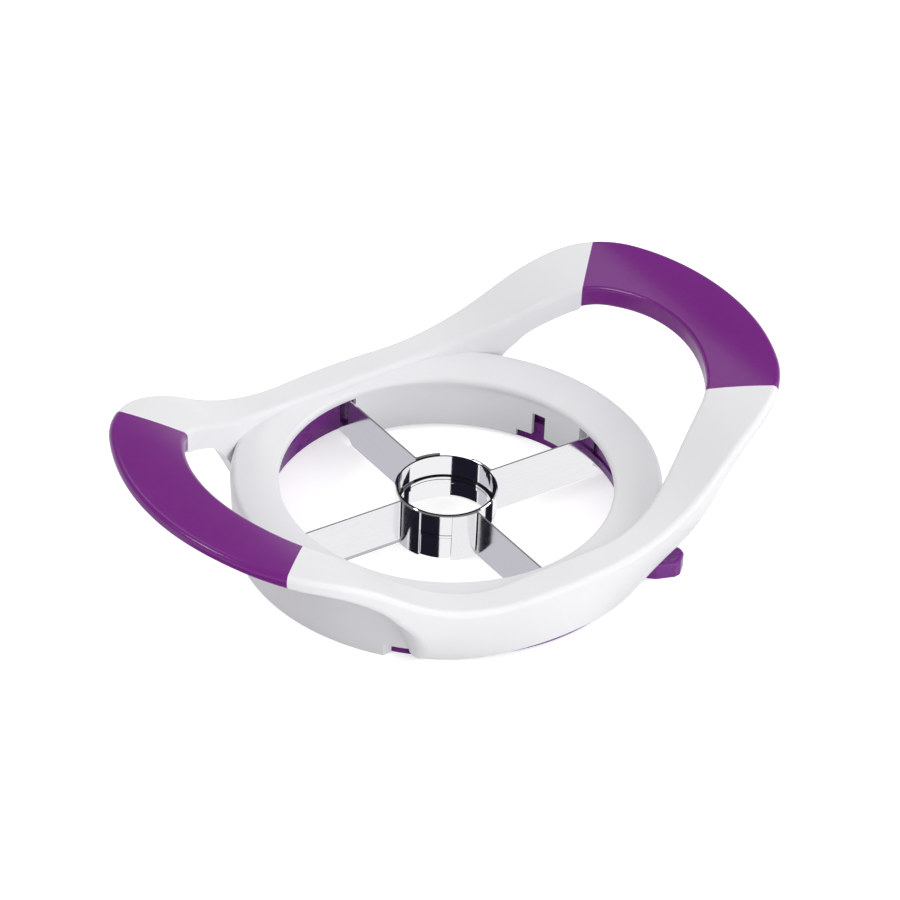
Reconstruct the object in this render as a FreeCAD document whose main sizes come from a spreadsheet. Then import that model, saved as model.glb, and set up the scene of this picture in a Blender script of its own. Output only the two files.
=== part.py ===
import FreeCAD, Part
import math
import os
import re

import Sketcher
from FreeCAD import Placement, Rotation, Vector

# Hand-held apple slicer with a fixed and a turning pair of blades, in millimetres.
# The origin is the centre of the footprint, on the plane that the slicer stands on.
# +X runs along the two handles and +Z points up. At rest the four blades form a cross:
# the fixed pair lies along X, the turning pair along Y.

SIZES = {
    # how far a cut runs past what it crosses
    "overrun": 1.0,
    # heights above the table
    "lip_height": 18.2,
    "rim_height": 20.2,
    "waist_height": 20.5,
    "crown_height": 47.4,
    "blade_top": 15.1,
    "turning_top": 15.3,
    "blade_bottom": 0.2,
    "core_top": 15.2,
    "core_seam": 7.35,
    # white ring
    "opening_radius": 47.5,
    "rim_radius": 61.3,
    "skirt_radius": 60.4,
    "skirt_wall": 2.05,
    "recess_wall": 0.65,
    "recess_start": 46.6,
    "recess_sweep": 86.8,
    "deck_underside": 17.4,
    "lip_underside": 16.4,
    "pocket_radius": 50.6,
    "lip_round": 1.2,
    "rim_round": 1.6,
    # plan outline of the handle band
    "handle_reach": 98.0,
    "band_half_width": 61.56,
    "apex_arc": 75.0,
    "shoulder_arc": 33.0,
    "side_arc": 228.0,
    # plan outline of the hole inside the band
    "loop_reach": 78.5,
    "loop_half_width": 50.3,
    "loop_apex_arc": 46.9,
    "loop_shoulder_arc": 22.4,
    "loop_waist_arc": 57.8,
    "loop_line_angle": 28.3,
    # side view of the band
    "rise_angle": 34.0,
    "waist_flat": 15.5,
    "lower_rise_arc": 63.0,
    "upper_rise_arc": 76.5,
    "band_thickness": 6.5,
    "rim_thickness": 3.0,
    "web_arc": 40.0,
    "foot_circle": 59.2,
    "full_outline_height": 22.0,
    "under_round_start": 37.0,
    # edge rounds of the band
    "outer_top_round": 1.5,
    "inner_top_round": 1.6,
    "under_round": 1.2,
    "foot_round": 5.0,
    "foot_round_height": 30.0,
    # grips
    "grip_start": 38.0,
    "grip_wall": 1.9,
    # cut-outs along the foot of the skirt, angles from +X
    "notch_near": 38.3,
    "notch_far": 46.5,
    "notch_end": 38.8,
    "notch_height": 4.0,
    "front_gap_half": 37.0,
    "front_gap_rise": 2.2,
    "lever_slot_start": -58.5,
    "lever_slot_sweep": 105.5,
    "lever_slot_height": 5.5,
    # blade carrier below the lip
    "carrier_inner": 48.2,
    "carrier_flange_outer": 50.4,
    "carrier_flange_underside": 15.6,
    "wall_inner": 48.5,
    "wall_outer": 49.9,
    "wall_bottom": 1.4,
    "wall_start": 2.6,
    "wall_sweep": 85.9,
    "bar_cut_start": 12.3,
    "bar_cut_sweep": 17.6,
    "bar_cut_height": 2.4,
    "slot_cut_start": 18.7,
    "slot_cut_sweep": 5.2,
    "slot_cut_top": 11.4,
    "barb_start": 70.0,
    "barb_sweep": 12.0,
    "barb_outer": 51.5,
    "barb_bottom": 7.5,
    "barb_top": 8.5,
    # core ring
    "core_radius": 14.6,
    "core_bore": 13.8,
    "core_bevel": 0.4,
    "lower_core_radius": 14.4,
    "sleeve_bore": 13.2,
    "sleeve_radius": 13.7,
    "sleeve_top": 8.3,
    "core_gap": 0.2,
    "core_edge": 1.2,
    # blades, angles from +X
    "fixed_angle": -3.0,
    "turning_angle": 90.9,
    "blade_thickness": 0.5,
    "blade_bevel": 1.5,
    "blade_edge": 0.1,
    "blade_step_start": 46.6,
    "blade_step": 1.6,
    "core_tab_sweep": 28.7,
    "core_bend": 0.6,
    "end_bend": 1.4,
    "weld_radius": 0.9,
    "weld_low": 3.0,
    "weld_high": 6.5,
    "blade_end": 50.2,
    "tail_low_end": 51.4,
    "tail_end": 52.3,
    "tail_bottom": 2.0,
    "tail_top": 2.6,
    "tail_shoulder": 4.3,
    "tongue_top": 14.5,
    "fixed_tab_sweep": 13.0,
    "fixed_tab_bottom": 7.6,
    "turning_tab_sweep": 9.0,
    "turning_tab_bottom": 5.6,
    "end_tab_top": 14.4,
    "stake_radius": 0.8,
    "fixed_stake_angle": 9.6,
    "turning_stake_angle": 5.6,
    "stake_low": 9.4,
    "stake_high": 12.6,
    # turning ring
    "rotor_inner": 51.0,
    "rotor_wall": 1.8,
    "rotor_top": 16.8,
    "rotor_waist": 4.6,
    "rotor_foot_radius": 58.0,
    "rotor_foot_wall": 1.6,
    "rotor_foot_height": 1.2,
    "rotor_foot_bottom": 0.1,
    "guard_inner": 50.5,
    "guard_wall": 1.5,
    "guard_start": 2.0,
    "guard_sweep": 82.0,
    "guard_top": 7.0,
    "track_depth": 0.8,
    "track_play": 0.3,
    "track_start": -18.0,
    "track_sweep": 102.0,
    "blade_slot_start": -0.33,
    "blade_slot_sweep": 2.3,
    # thumb lever
    "lever_angle": -48.5,
    "lever_root": 55.0,
    "lever_waist": 63.0,
    "lever_shoulder": 67.9,
    "lever_tip": 69.0,
    "lever_root_half": 7.3,
    "lever_waist_half": 6.3,
    "lever_shoulder_half": 3.7,
    "lever_tip_half": 2.2,
    "lever_top": 4.85,
    "lever_round": 0.7,
    "dish_radius": 9.0,
    "dish_depth": 0.8,
    "dish_place": 64.2,
}

# share of the way from the foot circle to the handle outline, by height over the full height
WIDENING = (
    (0.0, 0.0),
    (0.3, 0.39),
    (0.6, 0.72),
    (0.85, 0.915),
    (1.0, 0.975),
    (1.15, 0.997),
    (1.3, 1.0),
    (1.55, 1.0),
    (1.85, 1.0),
    (2.2, 1.0),
    (2.6, 1.0),
)

# where the underside is drawn up: normal angle of the outlines or x, lift at the rim and at the hole
UNDERSIDE = (
    ("angle", 0, 3.6, 0.3),
    ("angle", 14, 3.6, 0.3),
    ("angle", 28, 3.5, 0.3),
    ("angle", 42, 3.1, 0.3),
    ("angle", 55, 2.7, 0.3),
    ("x", 64, 2.1, 0.3),
    ("x", 58, 1.0, 0.0),
    ("x", 52, -0.8, -0.8),
)

# pegs start this far inside the wall that carries them
PEG_ROOT = 0.7
# how far a weld nugget sinks into the sheet on each side
WELD_BITE = 0.05
# two heights or radii are taken as equal within SAME, two points within JOINED
SAME = 0.05
JOINED = 1e-6
# edges shorter than this in plan are corners, not long edges
SHORT = 1.0
# exponent of the oval that divides the band's outer side from its hole
OVAL = 2.5
# share of its own width by which the underside's cutter runs past the rim and the hole
CUTTER_MARGIN = 0.35

doc = FreeCAD.newDocument("apple_slicer")
sheet = doc.addObject("Spreadsheet::Sheet", "Sizes")
for row, (alias, value) in enumerate(SIZES.items(), 1):
    sheet.set(f"A{row}", alias)
    sheet.set(f"B{row}", str(value))
    sheet.setAlias(f"B{row}", alias)
doc.recompute()


def size(alias):
    """Return a driving dimension from the sheet."""
    return float(sheet.get(alias))


def linked(text):
    """Turn the alias names in a formula into references to the sheet."""
    return re.sub(r"[a-z]\w*", lambda word: "Sizes." + word.group(0), text)


# ---------------------------------------------------------------- PartDesign helpers


def new_body(label):
    body = doc.addObject("PartDesign::Body", label)
    body.Label = label
    return body


def origin_plane(body, role):
    return next(item for item in body.Origin.OriginFeatures if item.Role == role)


def attach(sketch, body, role, turn_axis, turn, lift="0"):
    """Attach a sketch to an origin plane, turned about one of its own axes."""
    sketch.AttachmentSupport = (origin_plane(body, role), "")
    sketch.MapMode = "FlatFace"
    sketch.AttachmentOffset = Placement(Vector(0, 0, 0), Rotation(turn_axis, 1))
    sketch.setExpression("AttachmentOffset.Rotation.Angle", linked(turn))
    sketch.setExpression("AttachmentOffset.Base.z", linked(lift))


def draw_outline(sketch, points):
    """Draw a closed outline whose corners are bound to pairs of formulas."""
    count = len(points)
    start = [
        Vector(20 + math.cos(2 * math.pi * i / count), 20 + math.sin(2 * math.pi * i / count), 0)
        for i in range(count)
    ]
    for i in range(count):
        sketch.addGeometry(Part.LineSegment(start[i], start[(i + 1) % count]), False)
    for i in range(count):
        sketch.addConstraint(Sketcher.Constraint("Coincident", i - 1 if i else count - 1, 2, i, 1))
    for i, corner in enumerate(points):
        for kind, formula, value in zip("XY", corner, (start[i].x, start[i].y)):
            index = sketch.addConstraint(Sketcher.Constraint("Distance" + kind, -1, 1, i, 1, value))
            name = f"{kind.lower()}{i}"
            sketch.renameConstraint(index, name)
            sketch.setExpression("Constraints." + name, linked(formula))


def revolve(body, name, points, start="0", sweep="360", cut=False):
    """Turn an outline (radius, height) about Z, from the start angle over the sweep."""
    sketch = body.newObject("Sketcher::SketchObject", name + "_outline")
    attach(sketch, body, "XZ_Plane", Vector(0, 1, 0), start)
    draw_outline(sketch, points)
    kind = "PartDesign::Groove" if cut else "PartDesign::Revolution"
    feature = body.newObject(kind, name)
    feature.Profile = (sketch, [""])
    feature.ReferenceAxis = (sketch, ["V_Axis"])
    feature.setExpression("Angle", linked(sweep))
    return feature


def block(inner, outer, bottom, top):
    """Outline of a plain rectangle between two radii and two heights."""
    return [(inner, bottom), (outer, bottom), (outer, top), (inner, top)]


def radial_pin(body, name, radius, start, end, angle, height, cut=False):
    """Add or cut a round pin that points away from the Z axis, between two radii."""
    kind = "PartDesign::SubtractiveCylinder" if cut else "PartDesign::AdditiveCylinder"
    pin = body.newObject(kind, name)
    pin.setExpression("Radius", linked(radius))
    pin.Height = end - start
    spin = Rotation(Vector(0, 0, 1), angle)
    place = spin.multVec(Vector(start, 0, height))
    pin.Placement = Placement(place, spin.multiply(Rotation(Vector(0, 1, 0), 90)))
    return pin


def round_edges(body, name, radius, chosen):
    """Round the edges of a body that the test picks."""
    doc.recompute()
    base = body.Tip
    names = [f"Edge{i + 1}" for i, edge in enumerate(base.Shape.Edges) if chosen(edge)]
    feature = body.newObject("PartDesign::Fillet", name)
    feature.Base = (base, names)
    feature.setExpression("Radius", linked(radius))
    return feature


def middle(edge):
    return edge.valueAt((edge.FirstParameter + edge.LastParameter) / 2)


# ---------------------------------------------------------------- handle band outlines


def mirrored(points):
    """Complete a quarter outline, given from +X to +Y, to the full closed outline."""
    left = [Vector(-p.x, p.y, p.z) for p in reversed(points)][1:]
    half = points + left
    lower = [Vector(p.x, -p.y, p.z) for p in reversed(half)][1:]
    return half + lower


def arc_wire(points):
    """Join key points in threes into a closed wire of arcs (straight where in line)."""
    edges = []
    for a, b, c in zip(points[0::2], points[1::2], points[2::2]):
        straight = (b - a).cross(c - a).Length < JOINED
        edges.append(Part.makeLine(a, c) if straight else Part.Arc(a, b, c).toShape())
    return Part.Wire(edges)


def on_circle(centre, radius, angle):
    return Vector(centre.x + radius * math.cos(angle), centre.y + radius * math.sin(angle), 0)


def outer_arcs():
    """Arcs of a quarter of the outer outline, as centre, radius, first and last angle."""
    apex, shoulder, side = (size(a) for a in ("apex_arc", "shoulder_arc", "side_arc"))
    apex_centre = Vector(size("handle_reach") - apex, 0, 0)
    side_centre = Vector(0, size("band_half_width") - side, 0)
    # the shoulder's centre lies at known distances from the other two centres
    near, far = apex - shoulder, side - shoulder
    gap = side_centre - apex_centre
    along = (near ** 2 - far ** 2 + gap.Length ** 2) / (2 * gap.Length)
    off = math.sqrt(near ** 2 - along ** 2)
    unit = gap / gap.Length
    shoulder_centre = apex_centre + unit * along + Vector(-unit.y, unit.x, 0) * off
    first = math.atan2(shoulder_centre.y, shoulder_centre.x - apex_centre.x)
    second = math.atan2(shoulder_centre.y - side_centre.y, shoulder_centre.x)
    return [
        (apex_centre, apex, 0, first),
        (shoulder_centre, shoulder, first, second),
        (side_centre, side, second, math.pi / 2),
    ]


def loop_arcs():
    """Arcs of a quarter of the hole's outline; a line joins the last two."""
    apex, shoulder, waist = (size(a) for a in ("loop_apex_arc", "loop_shoulder_arc", "loop_waist_arc"))
    slope = math.pi / 2 - math.radians(size("loop_line_angle"))
    apex_centre = Vector(size("loop_reach") - apex, 0, 0)
    waist_centre = Vector(size("waist_flat"), size("loop_half_width") - waist, 0)
    line_normal = Vector(math.cos(slope), math.sin(slope), 0)
    line_offset = line_normal.dot(waist_centre) + waist
    # the shoulder touches the line and the apex arc
    depth = line_offset - shoulder - line_normal.dot(apex_centre)
    lean = slope - math.acos(depth / (apex - shoulder))
    shoulder_centre = on_circle(apex_centre, apex - shoulder, lean)
    return [
        (apex_centre, apex, 0, lean),
        (shoulder_centre, shoulder, lean, slope),
        (waist_centre, waist, slope, math.pi / 2),
    ]


def key_points(arcs, grown):
    """Key points of a quarter outline, from +X to +Y, with its arcs grown by a distance."""
    keys = []
    for centre, radius, first, last in arcs:
        start = on_circle(centre, radius + grown, first)
        if keys and start.distanceToPoint(keys[-1]) > JOINED:
            keys += [(keys[-1] + start) / 2, start]
        keys = keys or [start]
        keys += [on_circle(centre, radius + grown, angle) for angle in ((first + last) / 2, last)]
    if keys[-1].x > JOINED:
        keys += [Vector(keys[-1].x / 2, keys[-1].y, 0), Vector(0, keys[-1].y, 0)]
    return keys


def outer_keys(inset=0.0):
    return key_points(outer_arcs(), -inset)


def loop_keys(inset=0.0):
    return key_points(loop_arcs(), inset)


def at_angle(arcs, angle):
    """The point of a quarter outline whose outward normal has an angle."""
    centre, radius = next((c, r) for c, r, first, last in arcs if angle <= last)
    return on_circle(centre, radius, angle)


def at_length(keys, x):
    """The point of a quarter outline at an x, taken on its arcs."""
    line = Part.makeLine(Vector(x, SAME, 0), Vector(x, size("handle_reach"), 0))
    crossing = arc_wire(mirrored(keys)).distToShape(line)[1]
    return crossing[0][0]


def side_face(inset=0.0):
    """Side view of the band in XZ: S-shaped top, underside that sweeps down to the foot."""
    rise = math.radians(size("rise_angle"))
    reach, crown = size("handle_reach") + size("band_thickness"), size("crown_height")
    upper = size("upper_rise_arc")
    lower = size("lower_rise_arc")
    centre_x = size("handle_reach")
    centre_z = crown - upper
    web = size("web_arc") - inset
    under = upper - size("band_thickness")

    def about(x, z, radius, angle):
        return Vector(x + radius * math.sin(angle), 0, z + radius * math.cos(angle))

    top = upper - inset
    low_x, low_z = size("waist_flat"), size("waist_height") + lower
    low = lower + inset
    web_centre = about(centre_x, centre_z, under - size("web_arc"), -rise)
    foot_x = web_centre.x - math.sqrt(web ** 2 - web_centre.z ** 2)
    foot_angle = math.atan2(foot_x - web_centre.x, -web_centre.z)
    top_half = [
        Vector(reach, 0, crown - inset),
        Vector((reach + centre_x) / 2, 0, crown - inset),
        Vector(centre_x, 0, crown - inset),
        about(centre_x, centre_z, top, -rise / 2),
        about(centre_x, centre_z, top, -rise),
    ]
    low_end = about(low_x, low_z, -low, -rise)
    top_half += [(top_half[-1] + low_end) / 2, low_end]
    top_half += [
        about(low_x, low_z, -low, -rise / 2),
        about(low_x, low_z, -low, 0),
        Vector(low_x / 2, 0, size("waist_height") - inset),
        Vector(0, 0, size("waist_height") - inset),
    ]
    under_half = [
        Vector(0, 0, inset),
        Vector(foot_x / 2, 0, inset),
        Vector(foot_x, 0, inset),
        about(web_centre.x, web_centre.z, web, (foot_angle - rise) / 2),
        about(web_centre.x, web_centre.z, web, -rise),
        about(centre_x, centre_z, under + inset, -rise / 2),
        about(centre_x, centre_z, under + inset, 0),
        Vector((reach + centre_x) / 2, 0, crown - size("band_thickness") + inset),
        Vector(reach, 0, crown - size("band_thickness") + inset),
    ]
    left_top = [Vector(-p.x, 0, p.z) for p in reversed(top_half)][1:]
    left_under = [Vector(-p.x, 0, p.z) for p in reversed(under_half)][:-1]
    left_closing = [(left_top[-1] + left_under[0]) / 2]
    closing = [(under_half[-1] + top_half[0]) / 2, top_half[0]]
    return Part.Face(arc_wire(top_half + left_top + left_closing + left_under + under_half + closing))


def lofted_outer(inset=0.0):
    """Outer side of the band: the foot circle widening into the handle outline."""
    top = outer_keys(inset)
    foot = size("foot_circle") - inset
    bounds = [math.atan2(p.y, p.x) for p in top]
    # each arc of the outline is matched by an arc of the foot circle
    for i in (1, 3, 5):
        bounds[i] = (bounds[i - 1] + bounds[i + 1]) / 2
    base = [on_circle(Vector(0, 0, 0), foot, angle) for angle in bounds]
    full_level = size("full_outline_height")
    wires = []
    for level, share in WIDENING:
        keys = [b + (t - b) * share + Vector(0, 0, level * full_level) for b, t in zip(base, top)]
        wires.append(arc_wire(mirrored(keys)))
    highest_degree = 3
    return Part.makeLoft(wires, True, False, False, highest_degree)


def prism(keys, bottom, top):
    """Upright prism on a mirrored quarter outline."""
    face = Part.Face(arc_wire(mirrored(keys)))
    face.translate(Vector(0, 0, bottom))
    return face.extrude(Vector(0, 0, top - bottom))


def slab(face, half_width):
    """A side view swept across the whole width."""
    face.translate(Vector(0, -half_width, 0))
    return face.extrude(Vector(0, 2 * half_width, 0))


def under_level(x):
    """Height of the band's plain underside over the table, beyond its foot."""
    rise = math.radians(size("rise_angle"))
    under = size("upper_rise_arc") - size("band_thickness")
    centre_z = size("crown_height") - size("upper_rise_arc")
    web = size("web_arc")
    web_x = size("handle_reach") - (under - web) * math.sin(rise)
    web_z = centre_z + (under - web) * math.cos(rise)
    if x < web_x - web * math.sin(rise):
        return web_z + math.sqrt(web ** 2 - (x - web_x) ** 2)
    return centre_z + math.sqrt(under ** 2 - (size("handle_reach") - min(x, size("handle_reach"))) ** 2)


def underside_cutter(inset):
    """Solid below the handles, whose top rises from the hole to a thinner outer rim."""
    rims, holes = [], []
    for kind, value, rim_lift, hole_lift in UNDERSIDE:
        if kind == "angle":
            rim = at_angle(outer_arcs(), math.radians(value))
            hole = at_angle(loop_arcs(), math.radians(value))
        else:
            rim, hole = at_length(outer_keys(), value), at_length(loop_keys(), value)
        rim.z = under_level(rim.x) + rim_lift + inset
        hole.z = under_level(hole.x) + hole_lift + inset
        across = rim - hole
        rims.append(rim + across * CUTTER_MARGIN)
        holes.append(hole - across * CUTTER_MARGIN)
    edges = []
    for points in (rims, holes):
        curve = Part.BSplineCurve()
        curve.interpolate(points)
        edges.append(curve.toShape())
    quarter = Part.makeRuledSurface(*edges).extrude(Vector(0, 0, -2 * size("crown_height")))
    half = [quarter, quarter.mirror(Vector(0, 0, 0), Vector(0, 1, 0))]
    return half + [shape.mirror(Vector(0, 0, 0), Vector(1, 0, 0)) for shape in half]


def band_shape(inset=0.0):
    """The closed handle band, drawn in from its own surface by the inset."""
    outside = lofted_outer(inset).common(slab(side_face(inset), size("handle_reach")))
    hole = prism(loop_keys(inset), -size("overrun"), size("crown_height") + size("overrun"))
    return outside.cut([hole] + underside_cutter(inset))


def top_level(x):
    """Height of the band's top over the table."""
    rise = math.radians(size("rise_angle"))
    lower, upper = size("lower_rise_arc"), size("upper_rise_arc")
    low_end = size("waist_flat") + lower * math.sin(rise)
    high_start = size("handle_reach") - upper * math.sin(rise)
    x = abs(x)
    if x < size("waist_flat"):
        return size("waist_height")
    if x < low_end:
        return size("waist_height") + lower - math.sqrt(lower ** 2 - (x - size("waist_flat")) ** 2)
    if x < high_start:
        return size("waist_height") + lower * (1 - math.cos(rise)) + (x - low_end) * math.tan(rise)
    beyond = min(x - size("handle_reach"), 0)
    return size("crown_height") - upper + math.sqrt(upper ** 2 - beyond ** 2)


def is_outside(point):
    """True where a point is nearer the band's outer side than its hole."""
    reach = (size("handle_reach") + size("loop_reach")) / 2
    width = (size("band_half_width") + size("loop_half_width")) / 2
    return (abs(point.x) / reach) ** OVAL + (abs(point.y) / width) ** OVAL > 1


def ends(edge):
    return edge.valueAt(edge.FirstParameter), edge.valueAt(edge.LastParameter)


def runs_along_top(edge):
    """True for the edges that follow the band's top on one side of it."""
    first, last = ends(edge)
    if is_outside(first) != is_outside(last):
        return False
    return all(abs(p.z - top_level(p.x)) < SAME for p in (first, middle(edge), last))


def is_low_and_long(edge):
    """True for edges that stay below the rounds of the band's top and run along the band."""
    first, last = ends(edge)
    below = size("rim_thickness") - size("track_play")
    low = all(p.z < top_level(p.x) - below for p in (first, middle(edge), last))
    return low and math.hypot(first.x - last.x, first.y - last.y) > SHORT


def runs_under_handle(edge):
    """True for the long edges below the two handles, on one side of the band."""
    first, last = ends(edge)
    one_side = is_outside(first) == is_outside(last)
    return one_side and is_low_and_long(edge) and abs(middle(edge).x) > size("under_round_start")


def runs_under_arm(edge):
    """True for the outer edges of the underside, from a grip's seam down to the foot."""
    far = max(ends(edge), key=lambda p: abs(p.x))
    return is_low_and_long(edge) and is_outside(far) and is_outside(middle(edge))


def arm_round(point):
    """Radius of the round under an arm, which widens from the grip to the foot."""
    share = min(point.z / size("foot_round_height"), 1)
    return size("foot_round") + (size("under_round") - size("foot_round")) * share


def rounded_band():
    """The band with the long edges of its top rounded, more on the outside than at the hole."""
    shape = band_shape()
    for alias, outside in (("outer_top_round", True), ("inner_top_round", False)):
        edges = [e for e in shape.Edges if runs_along_top(e) and is_outside(middle(e)) == outside]
        shape = shape.makeFillet(size(alias), edges)
    return shape


# ---------------------------------------------------------------- document helpers


def plain(label, shape):
    """A sub-part or tool whose shape comes from the functions above."""
    item = doc.addObject("Part::Feature", label)
    item.Label = label
    item.Shape = shape
    return item


def boolean(kind, label, base, *tools):
    """Cut, Fuse or Common of document objects, one tool after the other."""
    for count, tool in enumerate(tools, 1):
        item = doc.addObject("Part::" + kind, label)
        item.Label = label if count == len(tools) else f"{label}_step{count}"
        item.Base = base
        item.Tool = tool
        base = item
    return base


def rounded(label, base, chosen, radius_at):
    """Round the edges of a document object that the test picks, by a radius for each end."""
    doc.recompute()
    item = doc.addObject("Part::Fillet", label)
    item.Label = label
    item.Base = base
    picked = [(i, edge) for i, edge in enumerate(base.Shape.Edges, 1) if chosen(edge)]
    item.Edges = [(i, *(radius_at(point) for point in ends(edge))) for i, edge in picked]
    return item


def sector(label, start, sweep, bottom, top, radius):
    """A pie-shaped cylinder about Z, from a start angle and between two heights."""
    item = doc.addObject("Part::Cylinder", label)
    item.Label = label
    item.Placement = Placement(Vector(0, 0, 0), Rotation(Vector(0, 0, 1), 1))
    item.setExpression("Placement.Rotation.Angle", linked(start))
    item.setExpression("Placement.Base.z", linked(bottom))
    item.setExpression("Angle", linked(sweep))
    item.setExpression("Height", linked(f"{top} - ({bottom})"))
    item.setExpression("Radius", linked(radius))
    return item


# ---------------------------------------------------------------- white frame and grips


def make_grip_zone(label, turn):
    """Everything beyond a grip's two seams, which meet at right angles on the X axis."""
    zone = doc.addObject("Part::Box", label)
    zone.Label = label
    for side in ("Length", "Width", "Height"):
        zone.setExpression(side, linked("2 * handle_reach"))
    spin = Rotation(Vector(0, 0, 1), turn)
    corner = spin.multVec(Vector(size("grip_start"), 0, -size("rim_height")))
    zone.Placement = Placement(corner, spin.multiply(Rotation(Vector(0, 0, 1), -45)))
    return zone


def make_ring():
    """Deck, rim and skirt of the white ring, turned in one piece."""
    body = new_body("ring")
    outline = [
        ("opening_radius", "lip_underside"),
        ("opening_radius", "lip_height"),
        ("rim_radius", "rim_height"),
        ("skirt_radius", "0"),
        ("skirt_radius - skirt_wall", "0"),
        ("skirt_radius - skirt_wall", "deck_underside"),
        ("pocket_radius", "deck_underside"),
        ("pocket_radius", "lip_underside"),
    ]
    revolve(body, "profile", outline)
    # between its arms the band itself is the outer wall, so the skirt steps in behind it
    behind_band = "skirt_radius - skirt_wall + recess_wall"
    step = block(behind_band, "rim_radius + overrun", "0 - overrun", "deck_underside")
    for side, turn in (("back", "0"), ("front", "180")):
        revolve(body, f"recess_{side}", step, f"{turn} + recess_start", "recess_sweep", True)
    for alias, radius, height in (
        ("lip_round", "opening_radius", "lip_height"),
        ("rim_round", "rim_radius", "rim_height"),
    ):
        round_edges(body, alias, alias, lies_on_circle(size(radius), size(height)))
    return body


def make_front_gap():
    """Shallow arch along the foot of the front wall, cut by a level cylinder along -Y."""
    arch = doc.addObject("Part::Cylinder", "front_gap")
    arch.Label = "front_gap"
    radius = "(front_gap_half ^ 2 + front_gap_rise ^ 2) / (2 * front_gap_rise)"
    arch.Placement = Placement(Vector(0, 0, 0), Rotation(Vector(1, 0, 0), 90))
    arch.setExpression("Radius", linked(radius))
    arch.setExpression("Height", linked("handle_reach"))
    arch.setExpression("Placement.Base.z", linked(f"front_gap_rise - {radius}"))
    return arch


def make_notch():
    """Box that cuts the foot of the skirt through to the left, square to the axes."""
    notch = doc.addObject("Part::Box", "notch")
    notch.Label = "notch"
    notch.setExpression("Length", linked("handle_reach - notch_end"))
    notch.setExpression("Width", linked("notch_far - notch_near"))
    notch.setExpression("Height", linked("2 * notch_height"))
    notch.setExpression("Placement.Base.x", linked("0 - handle_reach"))
    notch.setExpression("Placement.Base.y", linked("0 - notch_far"))
    notch.setExpression("Placement.Base.z", linked("0 - notch_height"))
    return notch


def lies_on_circle(radius, height):
    """A test for edges whose middle is at a radius and a height."""
    def chosen(edge):
        point = middle(edge)
        return abs(math.hypot(point.x, point.y) - radius) < SAME and abs(point.z - height) < SAME
    return chosen


def make_frame_and_grips():
    """The white shell, and the two soft grips moulded over its tongues."""
    band = plain("band", rounded_band())
    core = plain("grip_core", band_shape(size("grip_wall")))
    zones = {"grip_right": make_grip_zone("right_zone", 0), "grip_left": make_grip_zone("left_zone", 180)}
    tongues = {}
    grips = []
    for label, zone in zones.items():
        tongues[label] = boolean("Common", label + "_tongue", core, zone)
        sharp = boolean("Common", label + "_sharp", band, zone)
        outside = rounded(label + "_outside", sharp, runs_under_handle, lambda point: size("under_round"))
        grips.append(boolean("Cut", label, outside, tongues[label]))
    cavity_radius = "skirt_radius - skirt_wall + recess_wall / 2"
    cavity = sector("cavity", "0", "360", "0 - overrun", "deck_underside", cavity_radius)
    sharp_arms = boolean("Cut", "sharp_arms", band, *zones.values())
    solid_arms = rounded("solid_arms", sharp_arms, runs_under_arm, arm_round)
    arms = boolean("Cut", "arms", solid_arms, cavity)
    ring = boolean("Cut", "notched_ring", make_ring(), make_notch())
    joined = boolean("Fuse", "joined", arms, ring, *tongues.values())
    slot = ("lever_slot_start", "lever_slot_sweep", "0 - overrun", "lever_slot_height", "handle_reach")
    return [boolean("Cut", "frame_shell", joined, make_front_gap(), sector("lever_slot", *slot))] + grips


# ---------------------------------------------------------------- blade carrier


def make_blade_carrier():
    """Inner ring under the lip: flange, two quarter walls, snap barbs and stake pegs."""
    body = new_body("blade_carrier")
    flange = block("carrier_inner", "carrier_flange_outer", "carrier_flange_underside", "lip_underside")
    revolve(body, "flange", flange)
    wall = block("wall_inner", "wall_outer", "wall_bottom", "carrier_flange_underside")
    barb = block("wall_outer / 2 + wall_inner / 2", "barb_outer", "barb_bottom", "barb_top")
    across = ("wall_inner - overrun", "wall_outer + overrun", "wall_bottom - overrun")
    bar = block(*across, "wall_bottom + bar_cut_height")
    slot = block(*across, "slot_cut_top")
    for side, turn in (("right", "0"), ("left", "180")):
        revolve(body, f"wall_{side}", wall, f"{turn} + wall_start", "wall_sweep")
        revolve(body, f"bar_cut_{side}", bar, f"{turn} + bar_cut_start", "bar_cut_sweep", True)
        revolve(body, f"slot_cut_{side}", slot, f"{turn} + slot_cut_start", "slot_cut_sweep", True)
        revolve(body, f"barb_{side}", barb, f"{turn} + barb_start", "barb_sweep")
        angle = float(turn) + size("fixed_angle") + size("fixed_stake_angle")
        for height in ("stake_low", "stake_high"):
            radial_pin(body, f"{height}_{side}", "stake_radius", size("wall_inner") + PEG_ROOT,
                       size("wall_outer") + size("blade_thickness"), angle, size(height))
    return body


# ---------------------------------------------------------------- core rings and blades


def make_core_ring_upper():
    body = new_body("core_ring_upper")
    revolve(body, "profile", [
        ("core_bore", "core_seam + core_gap / 2"),
        ("core_radius", "core_seam + core_gap / 2"),
        ("core_radius", "core_top - core_bevel"),
        ("core_radius - core_bevel", "core_top"),
        ("core_bore", "core_top"),
    ])
    return body


def make_core_ring_lower():
    """Lower ring with a cutting edge below and a sleeve that turns in the upper ring."""
    body = new_body("core_ring_lower")
    revolve(body, "profile", [
        ("lower_core_radius - blade_edge", "blade_bottom"),
        ("lower_core_radius", "blade_bottom"),
        ("lower_core_radius", "core_seam"),
        ("sleeve_radius", "core_seam"),
        ("sleeve_radius", "sleeve_top"),
        ("sleeve_bore", "sleeve_top"),
        ("sleeve_bore", "core_seam - core_edge"),
        ("core_bore", "core_seam - 1.5 * core_edge"),
        ("core_bore", "blade_bottom + core_edge"),
    ])
    return body


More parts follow.
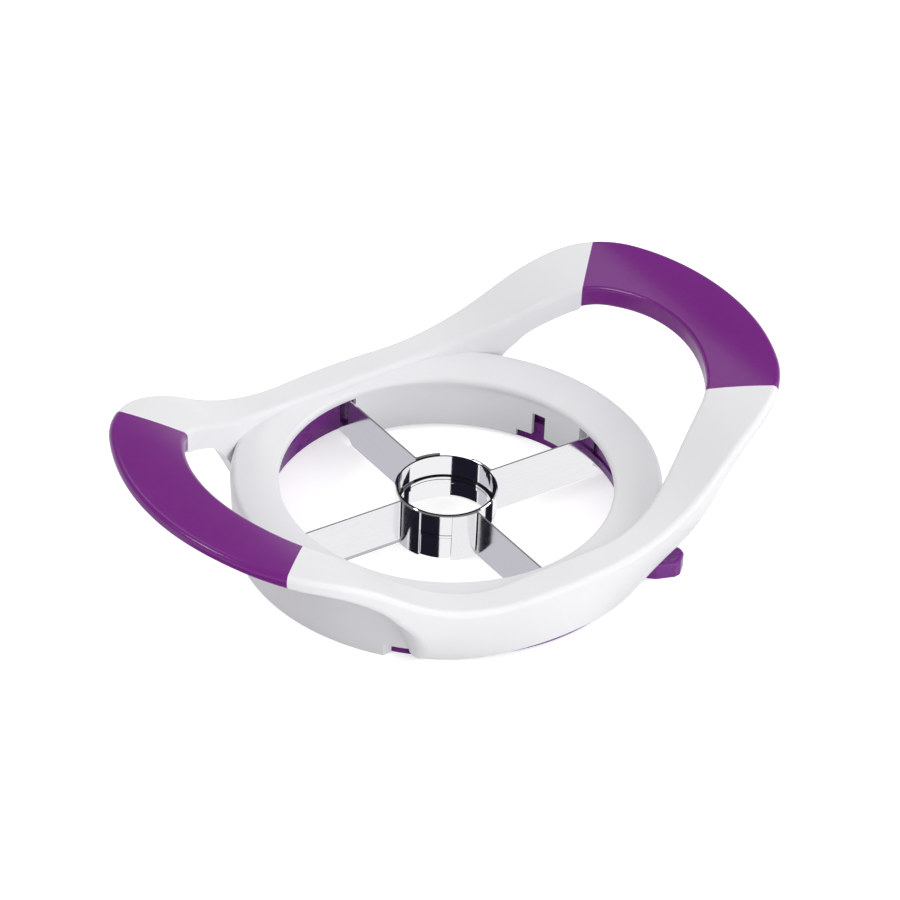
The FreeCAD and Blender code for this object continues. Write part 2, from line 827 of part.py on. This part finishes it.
def make_blade(label, angle, kind):
    """A fixed or turning blade on +X with a bent tab at each end, turned to its own angle."""
    body = new_body(label)
    turning = kind == "turning"
    strip_start = "core_radius + core_gap" if turning else "core_radius"
    tab_inner = "rotor_inner + rotor_wall" if turning else "wall_outer"
    tab_outer = tab_inner + " + blade_thickness"
    top = "turning_top" if turning else "blade_top"

    sketch = body.newObject("Sketcher::SketchObject", "section")
    attach(sketch, body, "YZ_Plane", Vector(0, 0, 1), "0", strip_start)
    # the edge is ground from the side that the core tab is bent to
    ground, plain_side = ("0 - ", "") if turning else ("", "0 - ")
    draw_outline(sketch, [
        (plain_side + "blade_thickness / 2", "blade_bottom"),
        (plain_side + "(blade_thickness / 2 - blade_edge)", "blade_bottom"),
        (ground + "blade_thickness / 2", "blade_bottom + blade_bevel"),
        (ground + "blade_thickness / 2", top),
        (plain_side + "blade_thickness / 2", top),
    ])
    strip = body.newObject("PartDesign::Pad", "strip")
    strip.Profile = (sketch, [""])
    end = tab_outer if turning else "tail_end"
    strip.setExpression("Length", linked(f"{end} - ({strip_start})"))

    for name, outline in (turning_end(top) if turning else fixed_end(top)).items():
        revolve(body, name, outline, f"0 - {kind}_tab_sweep", f"2 * {kind}_tab_sweep", True)
    end_tab = block(tab_inner, tab_outer, f"{kind}_tab_bottom", "end_tab_top")
    revolve(body, "end_tab", end_tab, "0", f"{kind}_tab_sweep")
    for height in ("stake_low", "stake_high"):
        hole_start = size("blade_end") - size("overrun")
        hole_end = size("rotor_foot_radius")
        radial_pin(body, height + "_hole", "stake_radius", hole_start, hole_end,
                   size(kind + "_stake_angle"), size(height), True)

    tab = block(strip_start, strip_start + " + blade_thickness", "blade_bottom", top)
    tab_start = "0 - core_tab_sweep" if turning else "0"
    revolve(body, "core_tab", tab, tab_start, "core_tab_sweep")
    core_fold = size("core_radius") + size("blade_thickness") + (size("core_gap") if turning else 0)
    round_edges(body, "core_bend", "core_bend", is_fold(core_fold, -1 if turning else 1))
    if turning:
        end_fold = size("rotor_inner") + size("rotor_wall")
        round_edges(body, "end_bend", "end_bend", is_fold(end_fold, 1))
        weld_start = size("lower_core_radius") - WELD_BITE
        weld_end = size("core_radius") + size("core_gap") + WELD_BITE
        for height in ("weld_low", "weld_high"):
            radial_pin(body, height, "weld_radius", weld_start, weld_end,
                       -size("core_tab_sweep") / 2, size(height))
    body.Placement = Placement(Vector(0, 0, 0), Rotation(Vector(0, 0, 1), angle))
    return body


def is_fold(radius, side):
    """A test for upright edges where a tab at a radius meets one side of the strip."""
    def chosen(edge):
        first, last = ends(edge)
        upright = abs(first.z - last.z) > SHORT and math.hypot(first.x - last.x, first.y - last.y) < SAME
        point = middle(edge)
        on_side = abs(point.y - side * size("blade_thickness") / 2) < SAME
        return upright and on_side and abs(math.hypot(point.x, point.y) - radius) < SAME
    return chosen


def fixed_end(top):
    """What is cut from a fixed blade's outer end, leaving a low tail under the turning ring."""
    beyond = "tail_end + overrun"
    return {
        "above_tail": [
            ("blade_end", "tail_shoulder"),
            ("tail_end", "tail_top"),
            (beyond, "tail_top"),
            (beyond, top + " + overrun"),
            ("blade_end", top + " + overrun"),
        ],
        "below_tail": [
            ("tail_low_end", "blade_bottom - overrun"),
            (beyond, "blade_bottom - overrun"),
            (beyond, "tail_bottom"),
            ("tail_end", "tail_bottom"),
            ("tail_low_end", "blade_bottom"),
        ],
    }


def turning_end(top):
    """What is cut from a turning blade's outer end, leaving a stepped foot and a tongue."""
    beyond = "rotor_inner + rotor_wall + blade_thickness + overrun"
    return {
        "step": [
            ("blade_step_start", "blade_bottom - overrun"),
            (beyond, "blade_bottom - overrun"),
            (beyond, "blade_bottom + blade_step"),
            ("blade_step_start + blade_step", "blade_bottom + blade_step"),
            ("blade_step_start", "blade_bottom"),
        ],
        "above_tongue": block("blade_end", beyond, "tongue_top", top + " + overrun"),
    }


# ---------------------------------------------------------------- turning ring and lever


def make_rotor_ring():
    """Turning ring below the deck, with its guards, tracks, blade slots, pegs and lever."""
    body = new_body("rotor_ring")
    add_lever(body)
    outer = "rotor_inner + rotor_wall"
    revolve(body, "profile", [
        ("rotor_inner", "rotor_top"),
        ("rotor_inner", "rotor_waist"),
        ("rotor_foot_radius - rotor_foot_wall", "rotor_foot_bottom"),
        ("rotor_foot_radius", "rotor_foot_bottom"),
        ("rotor_foot_radius", "rotor_foot_height"),
        (outer, "rotor_waist + rotor_foot_height - rotor_foot_bottom"),
        (outer, "rotor_top"),
    ])
    guard = block("guard_inner", "guard_inner + guard_wall", "rotor_foot_bottom", "guard_top")
    inside = "rotor_inner - overrun"
    bed = "rotor_inner + track_depth"
    track = block(inside, bed, "barb_bottom - track_play", "barb_top + track_play")
    slot_bottom = "blade_bottom + blade_step - track_play"
    slot = block(inside, outer + " + overrun", slot_bottom, "tongue_top + track_play")
    for side, turn in (("back", "0"), ("front", "180")):
        revolve(body, f"guard_{side}", guard, f"{turn} + guard_start", "guard_sweep")
        revolve(body, f"track_{side}", track, f"{turn} + track_start", "track_sweep", True)
        slot_start = f"{turn} + turning_angle + blade_slot_start"
        revolve(body, f"slot_{side}", slot, slot_start, "blade_slot_sweep", True)
        angle = float(turn) + size("turning_angle") + size("turning_stake_angle")
        for height in ("stake_low", "stake_high"):
            start = size("rotor_inner") + PEG_ROOT
            end = size("rotor_inner") + size("rotor_wall") + size("blade_thickness")
            radial_pin(body, f"{height}_{side}", "stake_radius", start, end, angle, size(height))
    return body


def add_lever(body):
    """Thumb lever: a tapering pad with a dished top, pointing away from the ring."""
    sketch = body.newObject("Sketcher::SketchObject", "lever_outline")
    attach(sketch, body, "XY_Plane", Vector(0, 0, 1), "lever_angle", "rotor_foot_bottom")
    sides = ("root", "waist", "shoulder", "tip")
    near = [(f"lever_{side}", f"0 - lever_{side}_half") for side in sides]
    far = [(f"lever_{side}", f"lever_{side}_half") for side in reversed(sides)]
    draw_outline(sketch, near + far)
    lever = body.newObject("PartDesign::Pad", "lever")
    lever.Profile = (sketch, [""])
    lever.setExpression("Length", linked("lever_top - rotor_foot_bottom"))

    def on_free_rim(edge):
        """Top edges of the pad and its upright corners, except those inside the ring."""
        point = middle(edge)
        first, last = ends(edge)
        upright = abs(first.z - last.z) > SHORT
        at_top = point.z > size("lever_top") - SAME
        beyond_root = math.hypot(point.x, point.y) > size("lever_root") + size("overrun")
        return beyond_root and (upright or at_top)

    round_edges(body, "lever_round", "lever_round", on_free_rim)
    dish = body.newObject("PartDesign::SubtractiveSphere", "thumb_dish")
    dish.setExpression("Radius", linked("dish_radius"))
    spin = Rotation(Vector(0, 0, 1), size("lever_angle"))
    height = size("lever_top") + size("dish_radius") - size("dish_depth")
    dish.Placement = Placement(spin.multVec(Vector(size("dish_place"), 0, height)), Rotation())


# ---------------------------------------------------------------- build, check and write


def build_all():
    nodes = make_frame_and_grips()
    nodes.append(make_blade_carrier())
    nodes.append(make_core_ring_upper())
    nodes.append(make_core_ring_lower())
    nodes.append(make_blade("fixed_blade_right", size("fixed_angle"), "fixed"))
    nodes.append(make_blade("fixed_blade_left", size("fixed_angle") + 180, "fixed"))
    nodes.append(make_blade("turning_blade_back", size("turning_angle"), "turning"))
    nodes.append(make_blade("turning_blade_front", size("turning_angle") + 180, "turning"))
    nodes.append(make_rotor_ring())
    return nodes


def check(nodes):
    """Stop if any object failed or any sub-part is not one sound solid."""
    for item in doc.Objects:
        if "Invalid" in item.State or "Error" in item.State:
            raise RuntimeError(f"{item.Label} failed: {item.State}")
    for node in nodes:
        shape = node.Shape
        if shape.isNull() or not shape.isValid() or len(shape.Solids) != 1:
            raise RuntimeError(f"{node.Label} is not one valid solid")


def write(nodes):
    os.makedirs("parts", exist_ok=True)
    for node in nodes:
        node.Shape.exportStep(f"parts/{node.Label}.step")
        print(f"{node.Label}: {node.Shape.Volume:.0f} mm3")


NODES = build_all()
doc.recompute()
check(NODES)
write(NODES)
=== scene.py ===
import math

import bpy
from mathutils import Matrix, Vector


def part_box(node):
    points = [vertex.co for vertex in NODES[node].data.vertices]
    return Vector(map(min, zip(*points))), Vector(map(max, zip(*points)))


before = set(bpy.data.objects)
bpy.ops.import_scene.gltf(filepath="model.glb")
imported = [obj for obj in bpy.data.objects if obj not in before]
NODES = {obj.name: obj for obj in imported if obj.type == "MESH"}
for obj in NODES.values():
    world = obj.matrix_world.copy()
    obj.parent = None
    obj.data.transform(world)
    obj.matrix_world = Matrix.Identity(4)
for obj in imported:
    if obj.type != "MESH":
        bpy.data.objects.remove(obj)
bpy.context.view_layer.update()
MM = 0.001

# ------------------------------------------------------------------ camera

CAMERA_AZIMUTH = math.radians(-36.012)
CAMERA_ELEVATION = math.radians(36.399)
CAMERA_ROLL = math.radians(2.444)
CAMERA_DISTANCE = 1.07195
CAMERA_LENS = 151.54
SENSOR_WIDTH = 36
# the view is centred this far from the middle of the lip, to the right and up
LIP_HEIGHT = 17.7 * MM
AIM_RIGHT = 0.951 * MM
AIM_UP = 7.928 * MM


def add_camera():
    """Camera that looks down at the front and left sides, rolled a little."""
    sin_a, cos_a = math.sin(CAMERA_AZIMUTH), math.cos(CAMERA_AZIMUTH)
    sin_e, cos_e = math.sin(CAMERA_ELEVATION), math.cos(CAMERA_ELEVATION)
    back = Vector((sin_a * cos_e, -cos_a * cos_e, sin_e))
    level = Vector((cos_a, sin_a, 0))
    upright = back.cross(level)
    right = level * math.cos(CAMERA_ROLL) + upright * math.sin(CAMERA_ROLL)
    up = upright * math.cos(CAMERA_ROLL) - level * math.sin(CAMERA_ROLL)
    aim = Vector((0, 0, LIP_HEIGHT)) + right * AIM_RIGHT + up * AIM_UP
    turned = Matrix((right, up, back)).transposed().to_4x4()
    data = bpy.data.cameras.new("camera")
    data.lens = CAMERA_LENS
    data.sensor_width = SENSOR_WIDTH
    camera = bpy.data.objects.new("camera", data)
    camera.matrix_world = Matrix.Translation(aim + back * CAMERA_DISTANCE) @ turned
    bpy.context.scene.collection.objects.link(camera)
    bpy.context.scene.camera = camera


# ------------------------------------------------------------------ material helpers


class Graph:
    """A material's node tree, with short calls to add nodes and join them."""

    def __init__(self, name):
        self.material = bpy.data.materials.new(name)
        self.material.use_nodes = True
        self.tree = self.material.node_tree
        self.shader = self.tree.nodes["Principled BSDF"]
        self.place = self.add("ShaderNodeTexCoord").outputs["Object"]

    def add(self, kind, **settings):
        node = self.tree.nodes.new(kind)
        for key, value in settings.items():
            setattr(node, key, value)
        return node

    def join(self, output, socket):
        self.tree.links.new(output, socket)

    def noise(self, scale, detail=2.0, stretch=None):
        node = self.add("ShaderNodeTexNoise")
        node.inputs["Scale"].default_value = scale
        node.inputs["Detail"].default_value = detail
        place = self.place
        if stretch:
            mapping = self.add("ShaderNodeMapping")
            mapping.inputs["Scale"].default_value = stretch
            self.join(place, mapping.inputs["Vector"])
            place = mapping.outputs["Vector"]
        self.join(place, node.inputs["Vector"])
        return node.outputs["Fac"]

    def ramp(self, factor, stops):
        """Colour ramp from (position, colour) stops; a colour may be a plain grey."""
        node = self.add("ShaderNodeValToRGB")
        elements = node.color_ramp.elements
        while len(elements) < len(stops):
            elements.new(0.5)
        for element, (position, colour) in zip(elements, stops):
            element.position = position
            grey = isinstance(colour, float)
            element.color = (colour, colour, colour, 1) if grey else (*colour, 1)
        self.join(factor, node.inputs["Fac"])
        return node.outputs["Color"]

    def span(self, factor, low, high, to_low=0.0, to_high=1.0):
        """Map a value from one range to another, smoothly at both ends."""
        node = self.add("ShaderNodeMapRange", interpolation_type="SMOOTHSTEP")
        limits = (low, high, to_low, to_high)
        for key, value in zip(("From Min", "From Max", "To Min", "To Max"), limits):
            node.inputs[key].default_value = value
        self.join(factor, node.inputs["Value"])
        return node.outputs["Result"]

    def blend(self, factor, first, second):
        """Mix two colours, each a socket or a tuple."""
        node = self.add("ShaderNodeMix", data_type="RGBA")
        self.join(factor, node.inputs["Factor"])
        sockets = [i for i in node.inputs if i.type == "RGBA"]
        for socket, value in zip(sockets, (first, second)):
            if isinstance(value, tuple):
                socket.default_value = (*value, 1)
            else:
                self.join(value, socket)
        return next(o for o in node.outputs if o.type == "RGBA")

    def parts(self, vector):
        """The X, Y and Z outputs of a split vector."""
        node = self.add("ShaderNodeSeparateXYZ")
        self.join(vector, node.inputs["Vector"])
        return node.outputs

    def larger(self, first, second):
        node = self.add("ShaderNodeMath", operation="MAXIMUM")
        self.join(first, node.inputs[0])
        self.join(second, node.inputs[1])
        return node.outputs["Value"]

    def line(self, height, level, half_width):
        """Mask of a level line round a piece."""
        node = self.add("ShaderNodeMath", operation="COMPARE")
        self.join(height, node.inputs[0])
        node.inputs[1].default_value = level
        node.inputs[2].default_value = half_width
        return node.outputs["Value"]

    def bump(self, height, strength, distance, normal=None):
        node = self.add("ShaderNodeBump")
        node.inputs["Strength"].default_value = strength
        node.inputs["Distance"].default_value = distance
        self.join(height, node.inputs["Height"])
        if normal:
            self.join(normal, node.inputs["Normal"])
        return node.outputs["Normal"]

    def set(self, **values):
        """Constant values on the shader's own sockets."""
        for key, value in values.items():
            self.shader.inputs[key.replace("_", " ")].default_value = value

    def feed(self, socket, output):
        self.join(output, self.shader.inputs[socket])


# ------------------------------------------------------------------ materials

# the ground face at a blade's foot leans further down than this
BEVEL_TILT = -0.15
BEVEL_SOFTNESS = 0.05
CORE_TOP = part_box("core_ring_upper")[1].z
# depths below the core's top edge over which the steel is painted dark, a painted shade standing in
# for the dark that edge mirrors
EDGE_SHADE_DEPTHS = (0.14 * MM, 0.06 * MM)
# the two core rings meet just below the upper one, and inside it at the lower one's sleeve
OUTER_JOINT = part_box("core_ring_upper")[0].z - 0.1 * MM
INNER_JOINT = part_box("core_ring_lower")[1].z
JOINT_HALF_WIDTH = 0.11 * MM


def white_plastic():
    """Satin white ABS: faint mottling, a fine spark-eroded grain and uneven gloss."""
    g = Graph("white_plastic")
    g.set(IOR=1.5)
    tones = [(0.3, (0.825, 0.825, 0.850)), (0.7, (0.85, 0.85, 0.87))]
    g.feed("Base Color", g.ramp(g.noise(38, 3), tones))
    g.feed("Roughness", g.span(g.noise(260, 2), 0.3, 0.7, 0.34, 0.44))
    waves = g.bump(g.noise(55, 1), 0.10, 0.0002)
    g.feed("Normal", g.bump(g.noise(3200, 2), 0.10, 0.00004, waves))
    return g.material


def soft_grip():
    """Purple thermoplastic rubber: satin, with a fine leather grain."""
    g = Graph("soft_grip")
    g.set(IOR=1.42)
    tones = [(0.3, (0.170, 0.012, 0.205)), (0.7, (0.190, 0.018, 0.230))]
    g.feed("Base Color", g.ramp(g.noise(30, 3), tones))
    g.feed("Roughness", g.span(g.noise(500, 2), 0.3, 0.7, 0.17, 0.23))
    waves = g.bump(g.noise(30, 0), 0.06, 0.0002)
    g.feed("Normal", g.bump(g.noise(2600, 2), 0.08, 0.00004, waves))
    return g.material


def hard_purple():
    """Purple polypropylene: smooth, a little duller than the grips."""
    g = Graph("hard_purple")
    g.set(IOR=1.36)
    tones = [(0.3, (0.170, 0.025, 0.228)), (0.7, (0.190, 0.032, 0.252))]
    g.feed("Base Color", g.ramp(g.noise(60, 3), tones))
    g.feed("Roughness", g.span(g.noise(300, 2), 0.3, 0.7, 0.26, 0.34))
    g.feed("Normal", g.bump(g.noise(90, 2), 0.06, 0.0002))
    return g.material


def blade_steel(along_y):
    """Satin strip steel: rolling lines along the blade, and the ground bevel at its foot painted a
    darker grey, partly its own finish and partly painted shade.
    """
    g = Graph("blade_steel_y" if along_y else "blade_steel_x")
    lines = (2500, 40, 2500) if along_y else (40, 2500, 2500)
    normal = g.parts(g.add("ShaderNodeNewGeometry").outputs["Normal"])
    tilt = (BEVEL_TILT - BEVEL_SOFTNESS, BEVEL_TILT + BEVEL_SOFTNESS)
    bevel = g.span(normal["Z"], *tilt, 1.0, 0.0)
    rolled = g.noise(1.0, 2, lines)
    tone = g.ramp(rolled, [(0.3, (0.83, 0.83, 0.85)), (0.7, (0.86, 0.86, 0.88))])
    g.set(Metallic=1.0)
    # the ground bevel is painted a darker grey: partly its ground finish, partly painted shade
    # standing in for the darker reflection it shows
    g.feed("Base Color", g.blend(bevel, tone, (0.47, 0.47, 0.49)))
    g.feed("Roughness", g.span(rolled, 0.3, 0.7, 0.10, 0.14))
    g.feed("Normal", g.bump(rolled, 0.01, 0.00002))
    return g.material


def core_steel():
    """Mirror-polished steel with hair-fine turning lines, a painted shade along its top edge and
    dark joints.
    """
    g = Graph("core_steel")
    height = g.parts(g.place)["Z"]
    # painted shade: the steel is painted near black just under the top edge; the joint lines added
    # below are dark joints
    dark = g.span(height, CORE_TOP - EDGE_SHADE_DEPTHS[0], CORE_TOP - EDGE_SHADE_DEPTHS[1])
    for level in (OUTER_JOINT, INNER_JOINT):
        dark = g.larger(dark, g.line(height, level, JOINT_HALF_WIDTH))
    turned = g.noise(1.0, 2, (40, 40, 9000))
    g.set(Metallic=1.0)
    g.feed("Base Color", g.blend(dark, (0.88, 0.88, 0.90), (0.05, 0.05, 0.06)))
    g.feed("Roughness", g.span(turned, 0.3, 0.7, 0.05, 0.09))
    g.feed("Normal", g.bump(turned, 0.05, 0.00001))
    return g.material


def dress_nodes():
    """Give every CAD node its finish."""
    white, grip, purple = white_plastic(), soft_grip(), hard_purple()
    blade_x, blade_y, core = blade_steel(False), blade_steel(True), core_steel()
    finish = {
        "frame_shell": white,
        "blade_carrier": white,
        "grip_left": grip,
        "grip_right": grip,
        "rotor_ring": purple,
        "fixed_blade_left": blade_x,
        "fixed_blade_right": blade_x,
        "turning_blade_back": blade_y,
        "turning_blade_front": blade_y,
        "core_ring_upper": core,
        "core_ring_lower": core,
    }
    for name, material in finish.items():
        node = NODES[name]
        for slot in node.material_slots:
            slot.link = "OBJECT"
            slot.material = material


# ------------------------------------------------------------------ studio


FLOOR_HALF = 3.0
FLOOR_COLOUR = (0.8, 0.8, 0.8, 1)
FLOOR_LIFT = 0.6
AMBIENT = 0.62
# sine of the elevation over which the mirrored surroundings go from white to the ceiling
CEILING_EDGE = (0.05, 0.35)
CEILING = 0.20
CARD_DISTANCE = 0.6
CARD_BLACK = (0.012, 0.011, 0.02)
CARD_GREY = (0.62, 0.61, 0.66)


def rectangle(name, half_width, half_height):
    """Flat upward-facing mesh, centred on its own origin."""
    corners = [(x * half_width, y * half_height, 0) for x, y in ((-1, -1), (1, -1), (1, 1), (-1, 1))]
    mesh = bpy.data.meshes.new(name)
    mesh.from_pydata(corners, [], [(0, 1, 2, 3)])
    item = bpy.data.objects.new(name, mesh)
    bpy.context.scene.collection.objects.link(item)
    return item


def add_floor():
    """White table top that keeps the object's shadow, lifted for the camera only."""
    floor = rectangle("floor", FLOOR_HALF, FLOOR_HALF)
    material = bpy.data.materials.new("floor_white")
    material.use_nodes = True
    tree = material.node_tree
    tree.nodes.clear()
    output = tree.nodes.new("ShaderNodeOutputMaterial")
    diffuse = tree.nodes.new("ShaderNodeBsdfDiffuse")
    diffuse.inputs["Color"].default_value = FLOOR_COLOUR
    glow = tree.nodes.new("ShaderNodeEmission")
    rays = tree.nodes.new("ShaderNodeLightPath")
    lift = tree.nodes.new("ShaderNodeMath")
    lift.operation = "MULTIPLY"
    lift.inputs[1].default_value = FLOOR_LIFT
    total = tree.nodes.new("ShaderNodeAddShader")
    tree.links.new(rays.outputs["Is Camera Ray"], lift.inputs[0])
    tree.links.new(lift.outputs["Value"], glow.inputs["Strength"])
    tree.links.new(diffuse.outputs["BSDF"], total.inputs[0])
    tree.links.new(glow.outputs["Emission"], total.inputs[1])
    tree.links.new(total.outputs["Shader"], output.inputs["Surface"])
    floor.data.materials.append(material)
    floor.visible_glossy = False


def map_range(tree, value, source, target):
    """Node that maps a value from one range to another, kept inside the second."""
    node = tree.nodes.new("ShaderNodeMapRange")
    for key, number in zip(("From Min", "From Max", "To Min", "To Max"), (*source, *target)):
        node.inputs[key].default_value = number
    tree.links.new(value, node.inputs["Value"])
    return node.outputs["Result"]


def add_world():
    """White surroundings, dimmer as a light, with a dark ceiling for what mirrors them."""
    world = bpy.data.worlds.new("world")
    bpy.context.scene.world = world
    world.use_nodes = True
    tree = world.node_tree
    back = tree.nodes["Background"]
    back.inputs["Color"].default_value = (1, 1, 1, 1)
    rays = tree.nodes.new("ShaderNodeLightPath")
    lit = map_range(tree, rays.outputs["Is Camera Ray"], (0, 1), (AMBIENT, 1.0))
    split = tree.nodes.new("ShaderNodeSeparateXYZ")
    direction = tree.nodes.new("ShaderNodeTexCoord").outputs["Generated"]
    tree.links.new(direction, split.inputs["Vector"])
    mirrored = map_range(tree, split.outputs["Z"], CEILING_EDGE, (1.0, CEILING))
    strength = tree.nodes.new("ShaderNodeMix")
    tree.links.new(rays.outputs["Is Glossy Ray"], strength.inputs["Factor"])
    tree.links.new(lit, strength.inputs["A"])
    tree.links.new(mirrored, strength.inputs["B"])
    tree.links.new(strength.outputs["Result"], back.inputs["Strength"])


def add_card(name, azimuth, drop, size, tone):
    """Studio card below the floor's level, seen only in mirrors; azimuth from +X towards +Y."""
    turn, fall = math.radians(azimuth), math.radians(drop)
    level = math.cos(fall)
    away = Vector((math.cos(turn) * level, math.sin(turn) * level, -math.sin(fall)))
    card = rectangle(name, size[0] / 2, size[1] / 2)
    card.location = away * CARD_DISTANCE
    card.rotation_euler = away.to_track_quat("Z", "Y").to_euler()
    material = bpy.data.materials.new(name + "_tone")
    material.use_nodes = True
    tree = material.node_tree
    glow = tree.nodes.new("ShaderNodeEmission")
    glow.inputs["Color"].default_value = (*tone, 1)
    tree.links.new(glow.outputs["Emission"], tree.nodes["Material Output"].inputs["Surface"])
    card.data.materials.append(material)
    card.visible_camera = False
    card.visible_diffuse = False
    card.visible_shadow = False


def add_cards():
    add_card("card_left", 188.5, 36, (0.63, 0.44), CARD_BLACK)
    add_card("card_right", 350, 36, (0.26, 0.44), CARD_BLACK)
    add_card("card_back", 128, 36, (0.36, 0.40), CARD_GREY)


def add_lamp(name, azimuth, elevation, distance, width, power):
    """Square area lamp that looks at the object; azimuth from the front, towards +X."""
    data = bpy.data.lights.new(name, "AREA")
    data.size = width
    data.energy = power
    lamp = bpy.data.objects.new(name, data)
    turn, lift = math.radians(azimuth), math.radians(elevation)
    level = math.cos(lift)
    away = Vector((math.sin(turn) * level, -math.cos(turn) * level, math.sin(lift)))
    lamp.location = away * distance
    lamp.rotation_euler = away.to_track_quat("Z", "Y").to_euler()
    bpy.context.scene.collection.objects.link(lamp)


def add_lamps():
    add_lamp("key", 8, 17, 1.2, 0.8, 5.6)
    add_lamp("back", 170, 49, 1.2, 0.45, 0.75)
    add_lamp("side", 70, 34, 1.4, 0.8, 4.9)
    add_lamp("rim", -112.6, 45, 1.2, 0.25, 2.4)


# ------------------------------------------------------------------ build

add_camera()
dress_nodes()
add_floor()
add_world()
add_cards()
add_lamps()
bpy.context.scene.view_settings.view_transform = "Standard"
